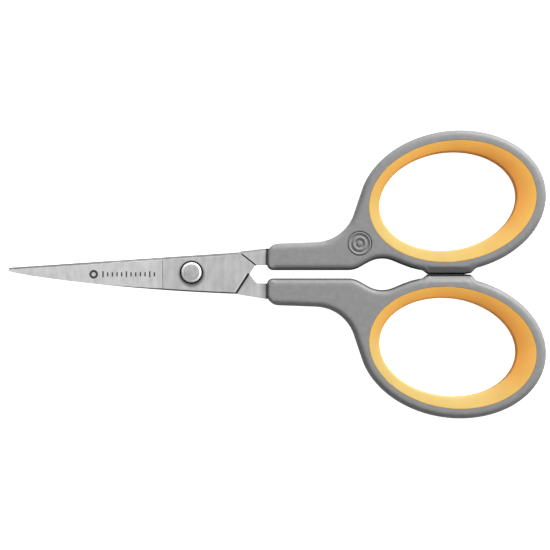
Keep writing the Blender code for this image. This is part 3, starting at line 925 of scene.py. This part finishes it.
def pivot_distance(tree, x, y, shift=(0, 0)):
    centre = ORIGIN + Vector((PIVOT[0] + shift[0], PIVOT[1] + shift[1], 0)) * MM
    dx = math_node(tree, "SUBTRACT", x, centre.x)
    dy = math_node(tree, "SUBTRACT", y, centre.y)
    squares = math_node(tree, "ADD", product(tree, dx, dx), product(tree, dy, dy))
    return math_node(tree, "SQRT", squares)


def add_bump(tree, shader, height, strength, distance):
    bump = tree.nodes.new("ShaderNodeBump")
    bump.inputs["Strength"].default_value = strength
    bump.inputs["Distance"].default_value = distance
    tree.links.new(height, bump.inputs["Height"])
    tree.links.new(bump.outputs["Normal"], shader.inputs["Normal"])


def plastic_material():
    """Moulded grey plastic with fine grain and faint mottling, and painted shade where faces meet and by
    the tang.
    """
    material, tree, shader = new_material("moulded_grey_plastic")
    tint = stretched_noise(tree, 900, 6, roughness=0.65)
    base = add_ramp(tree, tint, [(0.35, (0.216, 0.216, 0.217)), (0.65, (0.248, 0.248, 0.249))])
    x, y, _ = position_parts(tree)
    normal_x, normal_y, normal_z = normal_parts(tree)
    off_wall = map_range(tree, normal_z, 0.05, 0.15)
    leaning = product(tree, off_wall, map_range(tree, normal_z, 0.7, 0.4))
    steep = product(tree, off_wall, map_range(tree, normal_z, 0.65, 0.4))
    from_middle = math_node(tree, "SUBTRACT", y, ORIGIN.y)
    off_centre = math_node(tree, "ABSOLUTE", from_middle)

    # Painted shade: near-black on the steep faces where the two bumpers meet, for the shadow in the gap.
    between = map_range(tree, off_centre, 0.5 * MM, 0.4 * MM)
    past_arch = map_range(tree, x, ORIGIN.x + 30 * MM, ORIGIN.x + 31 * MM)
    bumper_gap_shade = product(tree, between, past_arch, steep)
    colour = darken(tree, base, bumper_gap_shade, 0.15)

    # Painted shade on the walls that face the other handle, ahead of the bumper.
    own_side = math_node(tree, "SIGN", from_middle)
    inward = map_range(tree, product(tree, normal_y, own_side), -0.3, -0.6)
    before_bumper = map_range(tree, x, ORIGIN.x + 31.5 * MM, ORIGIN.x + 30 * MM)
    near = map_range(tree, off_centre, 5.2 * MM, 4.6 * MM)
    wall = product(tree, inward, before_bumper, leaning, near)
    colour = darken(tree, colour, wall, 0.22)

    # Painted shade on the steep end of the shank beside the tang.
    at_tang = map_range(tree, x, ORIGIN.x + 1.0 * MM, ORIGIN.x)
    end = product(tree, at_tang, steep, map_range(tree, normal_x, -0.5, -0.8))
    colour = darken(tree, colour, end, 0.4)
    tree.links.new(colour, shader.inputs["Base Color"])
    # Where shade is painted, the shine is lowered too.
    painted_shade = math_node(tree, "MAXIMUM", math_node(tree, "MAXIMUM", bumper_gap_shade, wall), end)
    specular = map_range(tree, painted_shade, 0.0, 1.0, 0.42, 0.1)
    tree.links.new(specular, shader.inputs["Specular IOR Level"])
    set_roughness(tree, shader, stretched_noise(tree, 700, 3), 0.44, 0.56)
    add_bump(tree, shader, stretched_noise(tree, 4200, 2), 0.25, 0.00004)
    return material


def rubber_material():
    """Soft rubber with light and shade painted into its colour: orange where it turns from the light,
    yellow where it faces it.
    """
    material, tree, shader = new_material("soft_yellow_grip")
    # Painted light and shade: the colour turns from orange to yellow as the surface faces the key light,
    # in world directions.
    normal_x, normal_y, _ = normal_parts(tree, "ShaderNodeNewGeometry")
    facing = math_node(tree, "ADD", product(tree, normal_x, cos(KEY_AZIMUTH)),
                       product(tree, normal_y, sin(KEY_AZIMUTH)))
    turn = map_range(tree, facing, -0.4, 0.4)
    at_hole = add_ramp(tree, turn, [
        (0.22, (0.92, 0.385, 0.072)), (0.5, (0.74, 0.345, 0.07)), (0.78, (0.625, 0.425, 0.135))])
    at_seam = add_ramp(tree, turn, [
        (0.22, (0.94, 0.47, 0.085)), (0.5, (0.76, 0.43, 0.092)), (0.78, (0.575, 0.43, 0.13))])
    _, _, z = position_parts(tree)
    height = math_node(tree, "ABSOLUTE", math_node(tree, "SUBTRACT", z, ORIGIN.z))
    painted_light_hue = blend(tree, map_range(tree, height, 2.5 * MM, 3.12 * MM), at_hole, at_seam)
    wear = map_range(tree, stretched_noise(tree, 220, 4), 0.45, 0.75)
    tree.links.new(darken(tree, painted_light_hue, wear, 0.93), shader.inputs["Base Color"])
    set_roughness(tree, shader, stretched_noise(tree, 500, 3), 0.55, 0.68)
    add_bump(tree, shader, stretched_noise(tree, 2600, 3), 0.3, 0.00006)
    shader.inputs["Specular IOR Level"].default_value = 0.3
    return material


def front_blade_marks(tree, colour, x, y, z):
    """Painted shade on the chamfers and along the neck, painted shadow round the rivet and in its
    recess, a darker tang past the joggle, and a painted catch light at the heel.
    """
    _, normal_y, normal_z = normal_parts(tree)
    steep = map_range(tree, math_node(tree, "ABSOLUTE", normal_z), 0.9, 0.76)
    shaded = product(tree, steep, map_range(tree, normal_y, 0.05, -0.05))
    colour = darken(tree, colour, shaded, 0.2)

    # Painted shadow round the rivet head, reaching further on the side away from the light.
    rivet_shadow = map_range(tree, pivot_distance(tree, x, y, (0.05, -0.3)), 3.2 * MM, 2.5 * MM)
    colour = darken(tree, colour, math_node(tree, "POWER", rivet_shadow, 1.6), 0.35)
    # Painted shade: near-black in the recess round the rivet head.
    near = map_range(tree, pivot_distance(tree, x, y), 2.62 * MM, 2.58 * MM)
    sunk = map_range(tree, z, ORIGIN.z + 1.48 * MM, ORIGIN.z + 1.4 * MM)
    colour = darken(tree, colour, product(tree, near, sunk), 0.08)

    joggle_line = line_distance(tree, x, y, JOGGLE_TO, JOGGLE_FROM)
    colour = darken(tree, colour, map_range(tree, joggle_line, -0.05 * MM, -0.1 * MM), 0.87)

    # Painted highlight: a bright catch line inside the heel's chamfer, on its lower half.
    inside_heel = line_distance(tree, x, y, FRONT_HEEL[0][:2], FRONT_HEEL[1][:2])
    painted_catch_light = product(tree, map_range(tree, inside_heel, 0.43 * MM, 0.47 * MM),
                    map_range(tree, inside_heel, 0.72 * MM, 0.62 * MM))
    lower_half = map_range(tree, y, ORIGIN.y + 0.4 * MM, ORIGIN.y)
    colour = darken(tree, colour, product(tree, painted_catch_light, lower_half), 1.3)

    # Painted shade in a narrow band along the neck's edge, past the heel.
    neck = line_distance(tree, x, y, FRONT_NECK[0][:2], FRONT_NECK[1][:2])
    past_heel = map_range(tree, x, ORIGIN.x - 8.5 * MM, ORIGIN.x - 8.3 * MM)
    rim = product(tree, past_heel, map_range(tree, neck, 0.4 * MM, 0.3 * MM))
    return darken(tree, colour, rim, 0.68)


def back_blade_marks(tree, colour, x, y):
    """The shaded spine that shows above the front blade, and the tang's shadow by the shank."""
    start, end = (TIP_X, BACK_SPINE_TIP_Y), BACK_HEEL[2][:2]
    spine = map_range(tree, line_distance(tree, x, y, start, end), -0.5 * MM, -0.4 * MM)
    colour = darken(tree, colour, spine, 0.6)
    slim = map_range(tree, x, ORIGIN.x - 34 * MM, ORIGIN.x - 40 * MM)
    colour = darken(tree, colour, product(tree, spine, slim), 0.7)
    shade = map_range(tree, x, ORIGIN.x + (SHANK_END_X - 1.9) * MM,
                      ORIGIN.x + (SHANK_END_X - 0.4) * MM)
    return darken(tree, colour, math_node(tree, "POWER", shade, 1.3), 0.68)


def blade_material(name, front):
    """Satin ground steel: streaks across the blade, a ground face painted brighter for the light it
    catches, and painted shade on the edges.
    """
    material, tree, shader = new_material(name)
    x, y, z = position_parts(tree)
    streaks = stretched_noise(tree, 900, 4, (1.0, 0.05, 1.0))
    mottle = stretched_noise(tree, 700, 6, (1.0, 0.6, 1.0))
    # Painted light: the ground face from the shoulder to the tip is painted brighter than the plain
    # steel, for the light it catches.
    plain = add_ramp(tree, streaks, [(0.35, grey(0.575)), (0.65, grey(0.65))])
    ground = add_ramp(tree, streaks, [(0.35, grey(0.72)), (0.65, grey(0.795))])
    before_shoulder = map_range(tree, x, ORIGIN.x + (SHOULDER_X + 0.05) * MM,
                                ORIGIN.x + (SHOULDER_X - 0.05) * MM)
    colour = blend(tree, before_shoulder, plain, ground)
    colour = darken(tree, colour, map_range(tree, mottle, 0.42, 0.68), 0.86)
    if front:
        colour = front_blade_marks(tree, colour, x, y, z)
    else:
        colour = back_blade_marks(tree, colour, x, y)
    # Painted shade: near-black on the tang just before it goes into the shank.
    root = ORIGIN.x + (SHANK_END_X - 0.22) * MM
    at_root = map_range(tree, x, root - 0.15 * MM, root + 0.1 * MM)
    tree.links.new(darken(tree, colour, at_root, 0.12), shader.inputs["Base Color"])
    set_roughness(tree, shader, stretched_noise(tree, 400, 3, (1.0, 0.08, 1.0)), 0.26, 0.36)
    add_bump(tree, shader, streaks, 0.15, 0.00002)
    shader.inputs["Metallic"].default_value = 1.0
    return material


def etch_and_crease_shade_material():
    """Oxide-dark etched marks; the same near-black is painted into the creases as shade."""
    material, tree, shader = new_material("etched_dark_steel_and_crease_shade")
    mottle = stretched_noise(tree, 3000, 4)
    colour = add_ramp(tree, mottle, [(0.3, grey(0.02)), (0.7, grey(0.05))])
    tree.links.new(colour, shader.inputs["Base Color"])
    set_roughness(tree, shader, mottle, 0.6, 0.8)
    add_bump(tree, shader, mottle, 0.2, 0.00002)
    shader.inputs["Metallic"].default_value = 0.1
    return material


def rivet_material():
    """Turned steel with fine rings round the pivot and a painted highlight: a near-white chamfer."""
    material, tree, shader = new_material("turned_rivet_steel")
    x, y, _ = position_parts(tree)
    distance = pivot_distance(tree, x, y)
    rings = math_node(tree, "SINE", product(tree, distance, 2 * pi / (0.16 * MM)))
    mottle = stretched_noise(tree, 900, 4)
    colour = add_ramp(tree, mottle, [(0.35, grey(0.44)), (0.65, grey(0.60))])
    # Painted highlight: the chamfer ring is near-white and barely metallic.
    rim = map_range(tree, distance, 1.70 * MM, 1.78 * MM)
    tree.links.new(blend(tree, rim, colour, grey(0.88)), shader.inputs["Base Color"])
    tree.links.new(map_range(tree, rim, 0.0, 1.0, 1.0, 0.2), shader.inputs["Metallic"])
    set_roughness(tree, shader, mottle, 0.22, 0.34)
    add_bump(tree, shader, rings, 0.1, 0.00001)
    return material


# ---- studio

def make_world():
    """Soft overhead light that fades out away from the key's side and towards the horizon."""
    world = bpy.data.worlds.new("studio")
    bpy.context.scene.world = world
    world.use_nodes = True
    tree = world.node_tree
    background = tree.nodes["Background"]
    coordinates = tree.nodes.new("ShaderNodeTexCoord")
    across = tree.nodes.new("ShaderNodeVectorMath")
    across.operation = "DOT_PRODUCT"
    across.inputs[1].default_value = (cos(KEY_AZIMUTH), sin(KEY_AZIMUTH), 0)
    tree.links.new(coordinates.outputs["Generated"], across.inputs[0])
    side = add_ramp(tree, map_range(tree, across.outputs["Value"], -1, 1), [
        (0.0, grey(0.0)), (0.25, grey(0.02)), (0.38, grey(0.5)), (0.47, grey(0.92)), (0.55, grey(0.98)),
        (0.75, grey(0.95)), (1.0, grey(0.95))])
    split = tree.nodes.new("ShaderNodeSeparateXYZ")
    tree.links.new(coordinates.outputs["Generated"], split.inputs["Vector"])
    up = add_ramp(tree, split.outputs["Z"], [
        (0.0, grey(0.1)), (0.3, grey(0.45)), (0.6, grey(0.95)), (0.75, grey(1))])
    mix = tree.nodes.new("ShaderNodeVectorMath")
    mix.operation = "MULTIPLY"
    tree.links.new(side, mix.inputs[0])
    tree.links.new(up, mix.inputs[1])
    tree.links.new(mix.outputs["Vector"], background.inputs["Color"])
    background.inputs["Strength"].default_value = 1.0


def make_key_light():
    data = bpy.data.lights.new("key", "AREA")
    data.shape = "RECTANGLE"
    data.size, data.size_y = KEY_SIZE
    data.energy = KEY_ENERGY
    light = bpy.data.objects.new("key", data)
    bpy.context.scene.collection.objects.link(light)
    flat = cos(KEY_ELEVATION)
    direction = Vector((flat * cos(KEY_AZIMUTH), flat * sin(KEY_AZIMUTH), sin(KEY_ELEVATION)))
    light.location = ORIGIN + direction
    light.rotation_euler = direction.to_track_quat("Z", "Y").to_euler()


def stage_material(name, albedo, glow):
    material, _, shader = new_material(name)
    shader.inputs["Base Color"].default_value = grey(albedo)
    shader.inputs["Roughness"].default_value = 0.9
    shader.inputs["Specular IOR Level"].default_value = 0.0
    shader.inputs["Emission Color"].default_value = grey(1)
    shader.inputs["Emission Strength"].default_value = glow
    return material


def stage_piece(bm, name, material):
    mesh = bpy.data.meshes.new(name)
    bm.to_mesh(mesh)
    bm.free()
    mesh.materials.append(material)
    piece = bpy.data.objects.new(name, mesh)
    bpy.context.scene.collection.objects.link(piece)
    return piece


def make_stage():
    """A pale table in two sheets: one is seen, and one only bounces light back up."""
    level = cad_bounds[0].z - FLOOR_DROP
    sheets = (("floor", 0.9, 0.97, True), ("floor_bounce", 0.8, 0.0, False))
    for name, albedo, glow, seen in sheets:
        bm = bmesh.new()
        bmesh.ops.create_grid(bm, x_segments=1, y_segments=1, size=FLOOR_HALF_WIDTH)
        floor = stage_piece(bm, name, stage_material(name, albedo, glow))
        floor.location.z = level if seen else level - BOUNCE_DROP
        floor.visible_camera = seen
        floor.visible_diffuse = not seen
        floor.visible_glossy = not seen
        floor.visible_shadow = False
    bm = bmesh.new()
    bmesh.ops.create_uvsphere(bm, u_segments=64, v_segments=32, radius=BACKDROP_RADIUS)
    backdrop = stage_piece(bm, "backdrop", stage_material("backdrop", 0.0, 0.93))
    backdrop.visible_diffuse = False
    backdrop.visible_glossy = False
    backdrop.visible_shadow = False
    backdrop.visible_transmission = False


def make_camera():
    """Straight above, with a long lens, as in the photograph."""
    data = bpy.data.cameras.new("camera")
    data.lens = CAMERA_LENS
    data.sensor_width = CAMERA_SENSOR
    data.clip_end = CAMERA_REACH
    camera = bpy.data.objects.new("camera", data)
    bpy.context.scene.collection.objects.link(camera)
    distance = CAMERA_FIELD * CAMERA_LENS / CAMERA_SENSOR
    camera.location = ORIGIN + Vector((*CAMERA_OFFSET, CAMERA_FOCUS_HEIGHT + distance))
    bpy.context.scene.camera = camera


# ---- assembly

plastic = plastic_material()
rubber = rubber_material()
front_steel = blade_material("front_blade_ground_steel", True)
back_steel = blade_material("back_blade_ground_steel", False)
rivet_steel = rivet_material()
etched_and_crease_shade_steel = etch_and_crease_shade_material()

front_blade, back_blade = make_blades(front_steel, back_steel, etched_and_crease_shade_steel)
rivet, washer = make_rivet()
upper_handle = make_handle("upper_handle_moulding", 1, UPPER_BUMPER, True)
lower_handle = make_handle("lower_handle_moulding", -1, LOWER_BUMPER, False)
upper_grip = make_grip("upper_grip_ring", 1)
lower_grip = make_grip("lower_grip_ring", -1)

LOOKS = [
    (front_blade, front_steel, "front_half", "front_blade", "blade_steel"),
    (back_blade, back_steel, "back_half", "back_blade", "blade_steel"),
    (rivet, rivet_steel, "back_half", "pivot_rivet", "rivet_steel"),
    (washer, rivet_steel, "back_half", "rivet_washer", "rivet_steel"),
    (upper_handle, plastic, "front_half", "upper_handle", "handle_plastic"),
    (lower_handle, plastic, "back_half", "lower_handle", "handle_plastic"),
    (upper_grip, rubber, "front_half", "upper_grip", "grip_rubber"),
    (lower_grip, rubber, "back_half", "lower_grip", "grip_rubber"),
]
for piece, material, body, node, slot in LOOKS:
    if piece.data.materials:
        piece.data.materials[0] = material
    else:
        piece.data.materials.append(material)
    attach(piece, body)
    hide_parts(node)

make_world()
make_key_light()
make_stage()
make_camera()
bpy.context.scene.view_settings.view_transform = "Standard"
